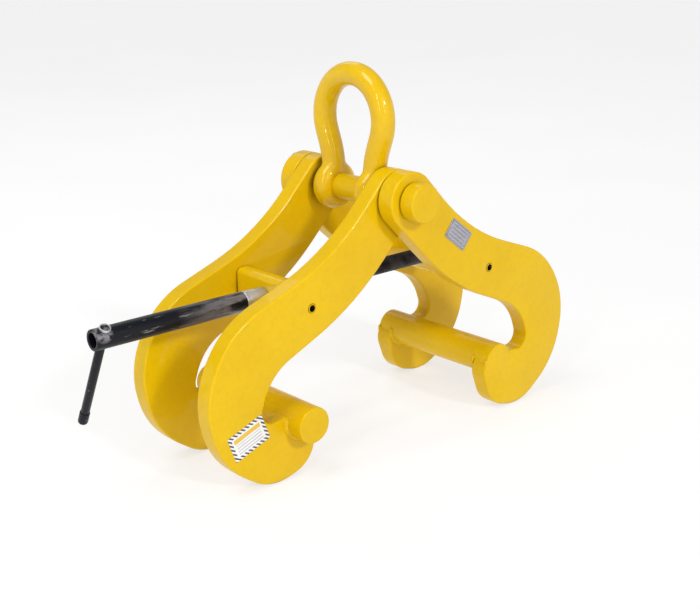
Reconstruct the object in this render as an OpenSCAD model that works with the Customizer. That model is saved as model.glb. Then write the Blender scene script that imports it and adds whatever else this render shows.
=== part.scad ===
// Screw-adjusted beam lifting clamp: two pairs of hooked arms cross on one main pin that also
// carries the shackle, and a hand-turned spindle draws the two pairs together.
// Millimetres. The origin is the inside crown of the shackle bow, where the crane hook pulls.
// +Z is up, X runs across the girder from jaw to jaw, and Y is along the pin.

/* [Arm plates] */
// Thickness of each arm plate
plate_t = 19; // [17:0.5:21]
// Clear gap between the two inner plates, which takes the shackle
inner_gap = 84; // [83:0.5:90]
// Side clearance between an inner and an outer plate
plate_clearance = 1; // [0.8:0.1:2]
// Radius of the round eye at the top of each arm
eye_r = 27; // [26:0.5:29]

/* [Jaw bars] */
// Radius of the round jaw bars
jaw_bar_r = 17; // [15:0.5:18]
// Distance of each jaw bar from the middle, with the arms as drawn
jaw_bar_x = 123; // [121:0.5:125]
// Depth of the jaw bars below the main pin
jaw_bar_drop = 186; // [184:0.5:188]

/* [Main pin] */
// Diameter of the main pin
pin_d = 25; // [22:0.5:26]
// Radius of the round head on the front end
pin_head_r = 18; // [16:0.5:20]
// Length of the head
pin_head_l = 17; // [12:1:20]
// Length of pin behind the rear plate
pin_tail_l = 14; // [13:0.5:18]

/* [Shackle] */
// Bar diameter of the shackle bow
bow_d = 23; // [20:0.5:24]
// Radius of the bow's centre line
bow_r = 41.5; // [38:0.5:43]
// Distance from the pin's axis to the inside crown of the bow
bow_reach = 98; // [94:1:104]
// Radius of the shackle's two ears
ear_r = 24; // [22:0.5:26]
// Clear width between the ears
ear_gap = 37; // [34:0.5:40]

/* [Spindle] */
// Distance of each trunnion from the middle, with the arms as drawn
trunnion_x = 106; // [104:0.5:108]
// Depth of the trunnions below the main pin
trunnion_drop = 84; // [82:0.5:86]
// Radius of the trunnion bars
trunnion_r = 19; // [17:0.5:20]
// Diameter of the spindle's thread
spindle_d = 16; // [14:0.5:17]
// Outside diameter of the handle tube
tube_d = 19; // [18:0.5:22]
// Length of the handle tube
tube_l = 155; // [120:5:170]

/* [Tommy bar] */
// Diameter of the sliding tommy bar
tommy_d = 8; // [6:0.5:9]
// Length of the tommy bar between its caps
tommy_l = 100; // [80:5:120]
// Lean of the tommy bar from straight down
tommy_lean = 28; // [0:1:60]

/* [Hidden] */
$fn = 64;

run_c = 0.06;       // radial running clearance of a pin or journal
face_c = 0.3;       // gap between faces that slide past each other
eps = 0.5;          // overshoot of a cutter beyond the face that it cuts

paint = "gold";
steel = "silver";
black = "#1c1c20";

// Y of the plate faces, measured from the middle
inner_y = inner_gap / 2;
outer_y = inner_y + plate_t + plate_clearance;
half_width = outer_y + plate_t;

pin_z = -bow_reach;
pin_r = pin_d / 2;
spindle_r = spindle_d / 2;
tube_r = tube_d / 2;
tommy_r = tommy_d / 2;
bow_bar_r = bow_d / 2;

// Corners of the left arm's outline about the pivot, as [x, z, rounding radius], from the
// upper side of the eye round the back of the hook, over the lobe and back along the underside
ARM_CORNERS = [
    [-77, -42, 230], [-193, -84, 88], [-227, -141, 80], [-212, -207, 80], [-159, -244, 48],
    [-114, -233, 31], [-93, -174, 19], [-171, -183, 12], [-155, -136, 55], [-53, -92, 270]
];
arc_step = 6;       // largest turn between two points of a rounded corner, in degrees

roll_pin_r = 4;     // roll pins that the trunnions swivel on
roll_pin_bore_r = 2.5;
roll_pin_grip = 12; // length of a roll pin inside the trunnion
outer_flat_x = 8;   // flats on the left trunnion, measured from its axis
inner_flat_x = 15;
collar_r = 11;
collar_l = 10;
cross_pin_r = 2;    // roll pins across the spindle
spigot_l = 36;      // length of spindle inside the handle tube
taper_l = 24;       // bright taper between the handle tube and the left trunnion
taper_end_r = 8.8;
stop_x = 135;       // place of the stop pin across the spindle's far end
stop_proud = 4;     // length of the stop pin on each side of the spindle
spindle_end_x = 144;
tube_bore_r = 6.5;
tommy_from_end = 10;
upper_cap_r = tommy_r + 1;      // ring peened on the top of the tommy bar
upper_cap_l = 2.4;
lower_cap_r = tommy_r + 0.6;    // pinned sleeve on the foot of the tommy bar
lower_cap_l = 14;
cap_end_t = 1.2;    // closed end of the sleeve
cap_pin_r = 1;

tube_inner_x = -trunnion_x - outer_flat_x - face_c - taper_l;
tube_end_x = tube_inner_x - tube_l;
tommy_x = tube_end_x + tommy_from_end;

function unit(v) = v / norm(v);

// Angle of the vector v
function heading(v) = atan2(v[1], v[0]);

// Point where the line from p touches the circle of radius r about the origin
function tangent_point(p, r, side) =
    let (turn = heading(p) + side * acos(r / norm(p)))
    r * [cos(turn), sin(turn)];

// Arc of radius r that rounds the corner q between its neighbours p and n
function rounded_corner(p, q, n, r) =
    let (
        u = unit(p - q),
        w = unit(n - q),
        half = acos(u * w) / 2,
        centre = q + unit(u + w) * r / sin(half),
        start = heading(q + u * r / tan(half) - centre),
        side = cross(u, w) > 0 ? -1 : 1,
        sweep = side * (180 - 2 * half),
        steps = ceil(abs(sweep) / arc_step)
    )
    [for (i = [0 : steps]) centre + r * [cos(start + sweep * i / steps), sin(start + sweep * i / steps)]];

// Corner points of the left arm with the two points where it leaves the eye
ARM_LINE = concat(
    [tangent_point([ARM_CORNERS[0][0], ARM_CORNERS[0][1]], eye_r, -1)],
    [for (c = ARM_CORNERS) [c[0], c[1]]],
    [tangent_point([ARM_CORNERS[9][0], ARM_CORNERS[9][1]], eye_r, 1)]
);

// Whole outline of the left arm, closed round the right side of the eye
function arm_outline() =
    let (
        start = heading(ARM_LINE[len(ARM_LINE) - 1]),
        sweep = heading(ARM_LINE[0]) - start + (heading(ARM_LINE[0]) < start ? 360 : 0),
        steps = ceil(sweep / arc_step)
    )
    concat(
        [for (i = [0 : len(ARM_CORNERS) - 1])
            each rounded_corner(ARM_LINE[i], ARM_LINE[i + 1], ARM_LINE[i + 2], ARM_CORNERS[i][2])],
        [for (i = [0 : steps]) eye_r * [cos(start + sweep * i / steps), sin(start + sweep * i / steps)]]
    );

// Places children in a frame whose origin is on the main pin's axis
module at_pin() {
    translate([0, 0, pin_z])
        children();
}

// Places children on the spindle's axis, with Z of the child along +X of the clamp
module on_spindle(x) {
    at_pin()
        translate([x, 0, -trunnion_drop])
            rotate([0, 90, 0])
                children();
}

// Round bar along Y from y0 to y1, centred on the pivot's axis
module bar_y(r, y0, y1) {
    translate([0, y0, 0])
        rotate([-90, 0, 0])
            cylinder(r = r, h = y1 - y0);
}

// Plate of the left arm between y and y + plate_t, bored for the pin, the bar and a roll pin
module arm_plate(y, pin_bore_r) {
    at_pin()
        difference() {
            translate([0, y + plate_t, 0])
                rotate([90, 0, 0])
                    linear_extrude(height = plate_t)
                        polygon(arm_outline());
            bar_y(pin_bore_r, y - eps, y + plate_t + eps);
            translate([-jaw_bar_x, 0, -jaw_bar_drop])
                bar_y(jaw_bar_r, y - eps, y + plate_t + eps);
            translate([-trunnion_x, 0, -trunnion_drop])
                bar_y(roll_pin_r, y - eps, y + plate_t + eps);
        }
}

module front_inner_plate() {
    color(paint)
        arm_plate(-inner_y - plate_t, pin_r);
}

module rear_inner_plate() {
    color(paint)
        arm_plate(inner_y, pin_r);
}

module front_outer_plate() {
    color(paint)
        mirror([1, 0, 0])
            arm_plate(-outer_y - plate_t, pin_r + run_c);
}

module rear_outer_plate() {
    color(paint)
        mirror([1, 0, 0])
            arm_plate(outer_y, pin_r + run_c);
}

// Jaw bar on one side, with its ends chamfered
module jaw_bar(side) {
    chamfer = 1.5;
    at_pin()
        translate([side * jaw_bar_x, 0, -jaw_bar_drop]) {
            bar_y(jaw_bar_r, -half_width + chamfer, half_width - chamfer);
            for (end = [0, 1])
                mirror([0, end, 0])
                    translate([0, half_width - chamfer, 0])
                        rotate([-90, 0, 0])
                            cylinder(r1 = jaw_bar_r, r2 = jaw_bar_r - chamfer, h = chamfer);
        }
}

module left_jaw_bar() {
    color(paint)
        jaw_bar(-1);
}

module right_jaw_bar() {
    color(paint)
        jaw_bar(1);
}

// Hole for the split pin, behind the washer
split_pin_set = 8.5;
split_pin_y = half_width + split_pin_set;
split_pin_r = 2.2;

module main_pin() {
    chamfer = 2;
    head_y = -half_width - face_c;
    color(paint)
        at_pin()
            difference() {
                union() {
                    bar_y(pin_r, head_y, half_width + pin_tail_l - chamfer);
                    bar_y(pin_head_r, head_y - pin_head_l + chamfer, head_y);
                    translate([0, head_y - pin_head_l + chamfer, 0])
                        rotate([90, 0, 0])
                            cylinder(r1 = pin_head_r, r2 = pin_head_r - chamfer, h = chamfer);
                    translate([0, half_width + pin_tail_l - chamfer, 0])
                        rotate([-90, 0, 0])
                            cylinder(r1 = pin_r, r2 = pin_r - chamfer, h = chamfer);
                }
                translate([0, split_pin_y, 0])
                    cylinder(r = split_pin_r, h = 2 * pin_d, center = true);
            }
}

module pin_washer() {
    washer_r = 20;
    washer_t = 4;
    front_y = half_width + face_c;
    color(steel)
        at_pin()
            difference() {
                bar_y(washer_r, front_y, front_y + washer_t);
                bar_y(pin_r, front_y - eps, front_y + washer_t + eps);
            }
}

// Split pin: a shank down through the main pin, with a loop on top
module split_pin() {
    loop_r = 4;
    wire_r = 1.1;
    below = 6;          // lengths that stand out of the main pin
    above = 2;
    color(steel)
        at_pin()
            translate([0, split_pin_y, 0]) {
                translate([0, 0, -pin_r - below])
                    cylinder(r = split_pin_r, h = 2 * pin_r + below + above);
                translate([0, 0, pin_r + above + loop_r])
                    rotate([90, 0, 0])
                        rotate_extrude()
                            translate([loop_r, 0])
                                circle(r = wire_r);
            }
}

// Point [y, z] inside each ear where the middle line of the shackle's leg starts
leg_foot = [18, 0];
ear_side_c = 1;     // clearance between an ear and the inner plate
bow_centre_z = bow_reach + bow_bar_r - bow_r;
leg_offset = leg_foot - [0, bow_centre_z];
leg_turn = heading(leg_offset) + acos(bow_r / norm(leg_offset));
leg_top = [0, bow_centre_z] + bow_r * [cos(leg_turn), sin(leg_turn)];

// Bow shackle: a round bow over two straight legs that end in flat bored ears
module shackle_bow() {
    ear_y = ear_gap / 2;
    ear_t = inner_y - ear_side_c - ear_y;
    slot_top = ear_r + 2;
    overlap = 2;        // the legs are a little thicker than the bow and run on over its ends
    leg_r = bow_bar_r + 0.3;
    leg = leg_top - leg_foot;
    color(paint)
        at_pin()
            difference() {
                union() {
                    translate([0, 0, bow_centre_z])
                        rotate([90, 0, 90])
                            rotate([0, 0, leg_turn])
                                rotate_extrude(angle = 180 - 2 * leg_turn)
                                    translate([bow_r, 0])
                                        circle(r = bow_bar_r);
                    for (side = [0, 1])
                        mirror([0, side, 0]) {
                            translate([0, leg_foot[0], leg_foot[1]])
                                rotate([-atan2(leg[0], leg[1]), 0, 0])
                                    cylinder(r = leg_r, h = norm(leg) + overlap);
                            bar_y(ear_r, ear_y - overlap, ear_y + ear_t);
                        }
                }
                bar_y(pin_r + run_c, -half_width, half_width);
                translate([-2 * ear_r, -ear_y, -2 * ear_r])
                    cube([4 * ear_r, 2 * ear_y, 2 * ear_r + slot_top]);
            }
}

// Trunnion bar of the given half length, bored at both ends for its roll pins
module trunnion_bar(half_l) {
    difference() {
        bar_y(trunnion_r, -half_l, half_l);
        for (end = [0, 1])
            mirror([0, end, 0])
                bar_y(roll_pin_r + run_c, half_l - roll_pin_grip - eps, half_l + eps);
    }
}

// Plain-bored trunnion that the spindle turns in, with flats for the spindle's shoulder and collar
module left_trunnion() {
    half_l = inner_y - 2 * face_c;
    color(paint)
        at_pin()
            translate([-trunnion_x, 0, -trunnion_drop])
                difference() {
                    trunnion_bar(half_l);
                    translate([-trunnion_r - outer_flat_x, -half_l - eps, -trunnion_r - eps])
                        cube([trunnion_r, 2 * (half_l + eps), 2 * (trunnion_r + eps)]);
                    translate([inner_flat_x, -half_l - eps, -trunnion_r - eps])
                        cube([trunnion_r, 2 * (half_l + eps), 2 * (trunnion_r + eps)]);
                    rotate([0, 90, 0])
                        cylinder(r = spindle_r + run_c, h = 4 * trunnion_r, center = true);
                }
}

// Trunnion with the threaded hole that travels along the spindle
module right_trunnion() {
    color(paint)
        at_pin()
            translate([trunnion_x, 0, -trunnion_drop])
                difference() {
                    trunnion_bar(outer_y - 2 * face_c);
                    rotate([0, 90, 0])
                        cylinder(r = spindle_r + run_c, h = 4 * trunnion_r, center = true);
                }
}

// Two roll pins of one trunnion, driven through plates whose inner faces are at +-y
module roll_pins(x, y) {
    inner_end = y - 2 * face_c - roll_pin_grip;
    at_pin()
        translate([x, 0, -trunnion_drop])
            for (end = [0, 1])
                mirror([0, end, 0])
                    difference() {
                        bar_y(roll_pin_r, inner_end, y + plate_t);
                        bar_y(roll_pin_bore_r, inner_end - eps, y + plate_t + eps);
                    }
}

module left_roll_pins() {
    color(steel)
        roll_pins(-trunnion_x, inner_y);
}

module right_roll_pins() {
    color(steel)
        roll_pins(trunnion_x, outer_y);
}

collar_x = -trunnion_x + inner_flat_x + face_c + collar_l / 2;

// Spindle: spigot inside the tube, bright taper, plain journal and thread, with two cross holes
module spindle() {
    chamfer = 2;
    rod_x = tube_inner_x + taper_l;
    color(steel)
        difference() {
            union() {
                on_spindle(tube_inner_x - spigot_l)
                    cylinder(r = tube_bore_r, h = spigot_l);
                on_spindle(tube_inner_x)
                    cylinder(r1 = tube_r, r2 = taper_end_r, h = taper_l);
                on_spindle(rod_x)
                    cylinder(r = spindle_r, h = spindle_end_x - chamfer - rod_x);
                on_spindle(spindle_end_x - chamfer)
                    cylinder(r1 = spindle_r, r2 = spindle_r - chamfer, h = chamfer);
            }
            for (x = [collar_x, stop_x])
                on_spindle(x)
                    rotate([90, 0, 0])
                        cylinder(r = cross_pin_r, h = 4 * spindle_r, center = true);
        }
}

module handle_tube() {
    color(black)
        difference() {
            on_spindle(tube_end_x)
                difference() {
                    cylinder(r = tube_r, h = tube_l);
                    translate([0, 0, -eps])
                        cylinder(r = tube_bore_r, h = tube_l + 2 * eps);
                }
            along_tommy()
                cylinder(r = tommy_r + run_c, h = 4 * tube_r, center = true);
        }
}

module lock_collar() {
    color(steel)
        on_spindle(collar_x)
            difference() {
                cylinder(r = collar_r, h = collar_l, center = true);
                cylinder(r = spindle_r, h = 2 * collar_l, center = true);
                rotate([90, 0, 0])
                    cylinder(r = cross_pin_r, h = 4 * collar_r, center = true);
            }
}

// Roll pin of the given half length across the spindle
module cross_pin(x, half_l) {
    on_spindle(x)
        rotate([90, 0, 0])
            cylinder(r = cross_pin_r, h = 2 * half_l, center = true);
}

module collar_pin() {
    color(steel)
        cross_pin(collar_x, collar_r);
}

module end_stop_pin() {
    color(steel)
        cross_pin(stop_x, spindle_r + stop_proud);
}

// Places children at the spindle's axis with Z pointing down the tommy bar
module along_tommy() {
    at_pin()
        translate([tommy_x, 0, -trunnion_drop])
            rotate([180 + tommy_lean, 0, 0])
                children();
}

tommy_top = tube_r + face_c;    // the upper cap rests on the tube
tommy_low = tommy_l - tommy_top;

cap_pin_z = tommy_low + (lower_cap_l - cap_end_t) / 2;

// Cross pin of the given length through the foot of the tommy bar
module cap_pin_bar(l) {
    translate([0, 0, cap_pin_z])
        rotate([90, 0, 0])
            cylinder(r = cap_pin_r, h = l, center = true);
}

module tommy_bar() {
    bar_top = -tommy_top - upper_cap_l + 1;
    color(black)
        along_tommy()
            difference() {
                translate([0, 0, bar_top])
                    cylinder(r = tommy_r, h = tommy_low + lower_cap_l - cap_end_t - bar_top);
                cap_pin_bar(4 * tommy_r);
            }
}

// Cylinder of radius r and length l up from the origin, chamfered at the far end
module chamfered_cylinder(r, l, chamfer) {
    cylinder(r = r, h = l - chamfer);
    translate([0, 0, l - chamfer])
        cylinder(r1 = r, r2 = r - chamfer, h = chamfer);
}

module tommy_upper_cap() {
    color(steel)
        along_tommy()
            translate([0, 0, -tommy_top])
                mirror([0, 0, 1])
                    difference() {
                        chamfered_cylinder(upper_cap_r, upper_cap_l, 0.5);
                        translate([0, 0, -eps])
                            cylinder(r = tommy_r, h = upper_cap_l + 2 * eps);
                    }
}

module tommy_lower_cap() {
    color(black)
        along_tommy()
            difference() {
                translate([0, 0, tommy_low])
                    chamfered_cylinder(lower_cap_r, lower_cap_l, 1);
                translate([0, 0, tommy_low - eps])
                    cylinder(r = tommy_r, h = lower_cap_l - cap_end_t + eps);
                cap_pin_bar(4 * lower_cap_r);
            }
}

module tommy_cap_pin() {
    color(steel)
        along_tommy()
            cap_pin_bar(2 * lower_cap_r);
}

plate_w = 32;       // blank serial plate on the front right arm
plate_h = 20;
tag_t = 0.8;
rivet_inset = 2.6;

// Places children flat on a front plate's outer face, with Z pointing away from the plate
module on_face(x, y, z, turn) {
    at_pin()
        translate([x, y, z])
            rotate([90, 0, 0])
                rotate([0, 0, turn])
                    children();
}

module at_serial_plate() {
    on_face(60, -half_width, -42, -38)
        children();
}

module serial_plate() {
    color(steel)
        at_serial_plate()
            translate([-plate_w / 2, -plate_h / 2, 0])
                cube([plate_w, plate_h, tag_t]);
}

module plate_rivets() {
    color(steel)
        at_serial_plate()
            for (x = [-1, 1], y = [-1, 1])
                translate([x * (plate_w / 2 - rivet_inset), y * (plate_h / 2 - rivet_inset), tag_t])
                    cylinder(r1 = 1.5, r2 = 0.9, h = 0.9);
}

module blank_label() {
    label_w = 40;
    label_h = 26;
    color("white")
        on_face(-182, -inner_y - plate_t, -187, 20)
            translate([-label_w / 2, -label_h / 2, 0])
                cube([label_w, label_h, 0.3]);
}

front_inner_plate();
rear_inner_plate();
front_outer_plate();
rear_outer_plate();
left_jaw_bar();
right_jaw_bar();
main_pin();
pin_washer();
split_pin();
shackle_bow();
left_trunnion();
right_trunnion();
left_roll_pins();
right_roll_pins();
spindle();
handle_tube();
lock_collar();
collar_pin();
end_stop_pin();
tommy_bar();
tommy_upper_cap();
tommy_lower_cap();
tommy_cap_pin();
serial_plate();
plate_rivets();
blank_label();
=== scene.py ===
import math
import random

import bmesh
import bpy
from mathutils import Matrix, Vector
from mathutils.geometry import tessellate_polygon

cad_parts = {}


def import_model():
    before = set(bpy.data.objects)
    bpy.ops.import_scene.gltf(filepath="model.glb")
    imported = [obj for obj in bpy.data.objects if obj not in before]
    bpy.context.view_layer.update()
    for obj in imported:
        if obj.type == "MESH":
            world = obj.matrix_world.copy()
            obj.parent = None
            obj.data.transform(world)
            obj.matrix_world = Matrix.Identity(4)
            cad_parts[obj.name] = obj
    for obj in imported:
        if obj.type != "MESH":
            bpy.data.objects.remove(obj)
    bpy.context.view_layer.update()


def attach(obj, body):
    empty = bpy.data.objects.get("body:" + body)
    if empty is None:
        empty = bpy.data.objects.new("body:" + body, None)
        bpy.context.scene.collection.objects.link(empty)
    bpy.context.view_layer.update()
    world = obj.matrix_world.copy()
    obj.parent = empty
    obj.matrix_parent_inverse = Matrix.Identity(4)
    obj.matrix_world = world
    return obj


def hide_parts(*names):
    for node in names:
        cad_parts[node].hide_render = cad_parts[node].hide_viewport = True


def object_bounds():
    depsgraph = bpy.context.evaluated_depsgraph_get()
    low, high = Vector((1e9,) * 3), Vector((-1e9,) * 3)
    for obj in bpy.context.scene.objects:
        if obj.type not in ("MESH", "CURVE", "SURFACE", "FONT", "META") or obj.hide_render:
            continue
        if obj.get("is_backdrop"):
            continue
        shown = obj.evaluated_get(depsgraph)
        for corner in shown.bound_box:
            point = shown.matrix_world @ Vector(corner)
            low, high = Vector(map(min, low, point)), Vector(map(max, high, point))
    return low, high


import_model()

MM = 0.001

# ---------------------------------------------------------------- driving sizes, in millimetres
PIVOT_Z = -98.0          # main pin's axis below the crown of the shackle's bow
PLATE_T = 19.0
INNER_Y = 42.0           # inner face of the inner plates
OUTER_Y = 62.0           # inner face of the outer plates
HALF_WIDTH = 81.0
EYE_R = 27.0
BAR_X, BAR_DROP, BAR_R = 123.0, 186.0, 17.0
TRUNNION_X, TRUNNION_DROP, TRUNNION_R = 106.0, 84.0, 19.0
OUTER_FLAT, INNER_FLAT, FLAT_CORNER_R = 8.0, 15.0, 5.5
PIN_R, HEAD_R, HEAD_L, PIN_TAIL = 12.5, 18.0, 17.0, 14.0
WASHER_R, WASHER_T = 20.0, 4.0
SPLIT_PIN_OUT = 8.5      # split pin beyond the plates
SPLIT_HOLE_R, SPLIT_WIRE_R, SPLIT_EYE_R = 2.2, 1.05, 4.0
ROLL_PIN_R, ROLL_BORE_R, ROLL_BITE = 4.0, 3.2, 12.0
SLIDE_GAP, RUN_GAP, PRESS_GAP = 0.3, 0.06, 0.02
HAIR = 0.05              # keeps skins that would touch apart
SPINDLE_R, THREAD_PITCH, THREAD_DEPTH = 8.0, 2.0, 1.2
TUBE_R, TUBE_BORE_R, TUBE_L = 9.5, 6.5, 155.0
TAPER_L, TAPER_END_R, SPIGOT_L = 24.0, 8.8, 36.0
COLLAR_R, COLLAR_L, CROSS_PIN_R = 11.0, 10.0, 2.0
STOP_X, STOP_PROUD, SPINDLE_END_X = 135.0, 4.0, 144.0
TOMMY_R, TOMMY_L, TOMMY_LEAN = 4.0, 100.0, math.radians(28)
UPPER_CAP_R, UPPER_CAP_L = 5.0, 2.4
LOWER_CAP_R, LOWER_CAP_L, CAP_END_T, CAP_CORNER_R = 4.6, 14.0, 1.2, 3.0
BOW_R, BOW_BAR_R, BOW_REACH, BOW_FOOT_X = 41.5, 11.5, 98.0, 18.0
EAR_R, EAR_GAP, EAR_OUTER = 24.0, 37.0, INNER_Y - 1
TAG_W, TAG_H, TAG_T, TAG_AT, TAG_TURN = 32, 20, 0.8, (60, -42), -38
RIVET_X, RIVET_Z, RIVET_R, RIVET_H = 13.4, 7.4, 1.5, 0.9
LABEL_W, LABEL_H, LABEL_T, LABEL_AT, LABEL_TURN = 40, 26, 0.3, (-182, -187), 20

TUBE_INNER_X = -TRUNNION_X - OUTER_FLAT - SLIDE_GAP - TAPER_L
TUBE_END_X = TUBE_INNER_X - TUBE_L
TOMMY_X = TUBE_END_X + 10.0
TOMMY_TOP = TUBE_R + SLIDE_GAP       # upper cap's seat above the tube's axis
COLLAR_X = -TRUNNION_X + INNER_FLAT + SLIDE_GAP
JOURNAL_END_X = COLLAR_X + COLLAR_L + 6
THREAD_END_X = STOP_X - 5

# Corners of the left arm about the main pin, as x, z, rounding radius
ARM_CORNERS = [
    (-77, -42, 230), (-193, -84, 88), (-227, -141, 80), (-212, -207, 80), (-159, -244, 48),
    (-114, -233, 31), (-93, -174, 19), (-171, -183, 12), (-155, -136, 55), (-53, -92, 270),
]
ARC_STEP = math.radians(3)
ARM_INSET = 0.06         # keeps the drawn outline inside the exact one, whose arcs have other facets


def world(x, y, z):
    """A point given in millimetres about the main pin, in the row frame's metres."""
    return Vector((x, y, z + PIVOT_Z)) * MM


# ---------------------------------------------------------------- mesh helpers
def mesh_object(name, verts, faces, smooth=True, sharp=math.radians(32), flat_faces=()):
    """Object made of verts in metres; faces listed in flat_faces keep flat shading."""
    mesh = bpy.data.meshes.new(name)
    mesh.from_pydata([tuple(v) for v in verts], [], faces)
    bm = bmesh.new()
    bm.from_mesh(mesh)
    bmesh.ops.recalc_face_normals(bm, faces=bm.faces)
    bm.to_mesh(mesh)
    bm.free()
    flat = set(flat_faces)
    for i, p in enumerate(mesh.polygons):
        p.use_smooth = smooth and i not in flat
    if smooth:
        mesh.set_sharp_from_angle(angle=sharp)
    o = bpy.data.objects.new(name, mesh)
    bpy.context.scene.collection.objects.link(o)
    return o


def rounded(profile, r, steps):
    """The profile [(s, radius)] with each corner rounded by up to r; its two ends stay where they are."""
    out = [profile[0]]
    for a, q, b in zip(profile, profile[1:], profile[2:]):
        u, w = Vector(a) - Vector(q), Vector(b) - Vector(q)
        if u.length < 1e-6 or w.length < 1e-6:
            continue
        turn = u.angle(w)
        if turn > math.radians(175):
            out.append(q)
            continue
        back = min(r / math.tan(turn / 2), u.length * 0.45, w.length * 0.45)
        u, w = u.normalized() * back, w.normalized() * back
        for i in range(steps + 1):
            t = i / steps
            p = Vector(q) + u * (1 - t) ** 2 + w * t ** 2
            out.append((p.x, p.y))
    out.append(profile[-1])
    return out


def arc(centre, r, start, turn, steps):
    """Points of an arc of radius r about centre, from the angle start through turn."""
    angles = [start + turn * i / steps for i in range(steps + 1)]
    return [Vector(centre) + r * Vector((math.cos(a), math.sin(a))) for a in angles]


def rod_profile(r, s0, s1):
    """Profile of a plain rod from s0 to s1."""
    return [(s0, 0), (s0, r), (s1, r), (s1, 0)]


def tube_profile(inner, outer, s0, s1, start, edge, steps):
    """Closed profile of a tube with rounded edges, which starts in the bore at start."""
    points = [(start, inner), (s0, inner), (s0, outer), (s1, outer), (s1, inner), (start, inner)]
    return rounded(points, edge, steps)[:-1]


def frame_along(axis):
    """Two unit vectors square to axis, and the axis itself."""
    axis = Vector(axis).normalized()
    side = Vector((0, 0, 1)) if abs(axis.z) < 0.9 else Vector((1, 0, 0))
    u = (side - axis * side.dot(axis)).normalized()
    return u, axis.cross(u), axis


def lathe(name, origin, axis, profile, segments, closed=False):
    """Turned piece: profile is [(distance along axis, radius)], in millimetres from origin."""
    u, v, w = frame_along(axis)
    o = world(*origin)
    verts, rings = [], []
    for s, r in profile:
        if r < 1e-6:
            rings.append([len(verts)])
            verts.append(o + w * s * MM)
            continue
        rings.append(list(range(len(verts), len(verts) + segments)))
        for k in range(segments):
            a = 2 * math.pi * k / segments
            verts.append(o + (w * s + (u * math.cos(a) + v * math.sin(a)) * r) * MM)
    faces = []
    pairs = list(zip(rings, rings[1:]))
    if closed:
        pairs.append((rings[-1], rings[0]))
    for a, b in pairs:
        if len(a) == 1 and len(b) == 1:
            continue
        for k in range(segments):
            n = (k + 1) % segments
            if len(a) == 1:
                faces.append((a[0], b[k], b[n]))
            elif len(b) == 1:
                faces.append((a[k], b[0], a[n]))
            else:
                faces.append((a[k], b[k], b[n], a[n]))
    return mesh_object(name, verts, faces)


def skin(rings):
    """Faces along a row of equal rings of corners, with a cap at each end."""
    count = len(rings[0])
    faces = []
    for a, b in zip(rings, rings[1:]):
        for k in range(count):
            n = (k + 1) % count
            faces.append((a[k], b[k], b[n], a[n]))
    return faces + [tuple(rings[0]), tuple(rings[-1])]


def sweep(name, path, radius, segments):
    """Round bar along path, a list of points in metres; radius is in millimetres."""
    verts, rings = [], []
    normal = None
    for i, p in enumerate(path):
        before, after = path[max(i - 1, 0)], path[min(i + 1, len(path) - 1)]
        t = (after - before).normalized()
        if normal is None:
            normal = frame_along(t)[0]
        normal = (normal - t * normal.dot(t)).normalized()
        side = t.cross(normal)
        rings.append(range(len(verts), len(verts) + segments))
        for k in range(segments):
            a = 2 * math.pi * k / segments
            verts.append(p + (normal * math.cos(a) + side * math.sin(a)) * radius * MM)
    return mesh_object(name, verts, skin(rings))


def joined(name, *objs):
    """One object made of several."""
    bm = bmesh.new()
    for o in objs:
        bm.from_mesh(o.data)
    mesh = bpy.data.meshes.new(name)
    bm.to_mesh(mesh)
    bm.free()
    for o in objs:
        bpy.data.objects.remove(o)
    out = bpy.data.objects.new(name, mesh)
    bpy.context.scene.collection.objects.link(out)
    return out


def applied(o):
    """Bakes an object's modifiers into its mesh."""
    dg = bpy.context.evaluated_depsgraph_get()
    mesh = bpy.data.meshes.new_from_object(o.evaluated_get(dg))
    o.modifiers.clear()
    o.data = mesh
    for p in mesh.polygons:
        p.use_smooth = True
    mesh.set_sharp_from_angle(angle=math.radians(35))
    return o


def cut(o, *cutters):
    """Takes the cutters out of o and deletes them."""
    for c in cutters:
        m = o.modifiers.new("cut", "BOOLEAN")
        m.operation = "DIFFERENCE"
        m.solver = "EXACT"
        m.object = c
    applied(o)
    for c in cutters:
        bpy.data.objects.remove(c)
    return o


def box_object(name, lo, hi):
    """Plain box, used only to cut with. Corners are in millimetres about the main pin."""
    verts = [world(x, y, z) for x in (lo[0], hi[0]) for y in (lo[1], hi[1]) for z in (lo[2], hi[2])]
    faces = [(0, 1, 3, 2), (4, 6, 7, 5), (0, 4, 5, 1), (2, 3, 7, 6), (0, 2, 6, 4), (1, 5, 7, 3)]
    return mesh_object(name, verts, faces, smooth=False)


# ---------------------------------------------------------------- arm plates
def heading(v):
    """Angle of a direction, or of a point seen from the origin."""
    return math.atan2(v[1], v[0])


def tangent_point(p, side):
    """Where a line from p touches the eye's circle, on the given side."""
    turn = heading(p) + side * math.acos(EYE_R / math.hypot(*p))
    return Vector((EYE_R * math.cos(turn), EYE_R * math.sin(turn)))


def rounded_corner(p, q, n, r):
    """Arc of radius r that rounds corner q between its neighbours."""
    u, w = (p - q).normalized(), (n - q).normalized()
    half = u.angle(w) / 2
    centre = q + (u + w).normalized() * r / math.sin(half)
    start = heading(q + u * r / math.tan(half) - centre)
    side = -1 if u.x * w.y - u.y * w.x > 0 else 1
    sweep_angle = side * (math.pi - 2 * half)
    return arc(centre, r, start, sweep_angle, math.ceil(abs(sweep_angle) / ARC_STEP))


def arm_outline():
    """Left arm: rounded corners, closed by an arc round the eye."""
    corners = [Vector(c[:2]) for c in ARM_CORNERS]
    line = [tangent_point(corners[0], -1)] + corners + [tangent_point(corners[-1], 1)]
    points = []
    for i, c in enumerate(ARM_CORNERS):
        points += rounded_corner(line[i], line[i + 1], line[i + 2], c[2])
    start, end = heading(line[-1]), heading(line[0])
    sweep_angle = (end - start) % (2 * math.pi)
    return points + arc((0, 0), EYE_R, start, sweep_angle, math.ceil(sweep_angle / ARC_STEP))


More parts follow.
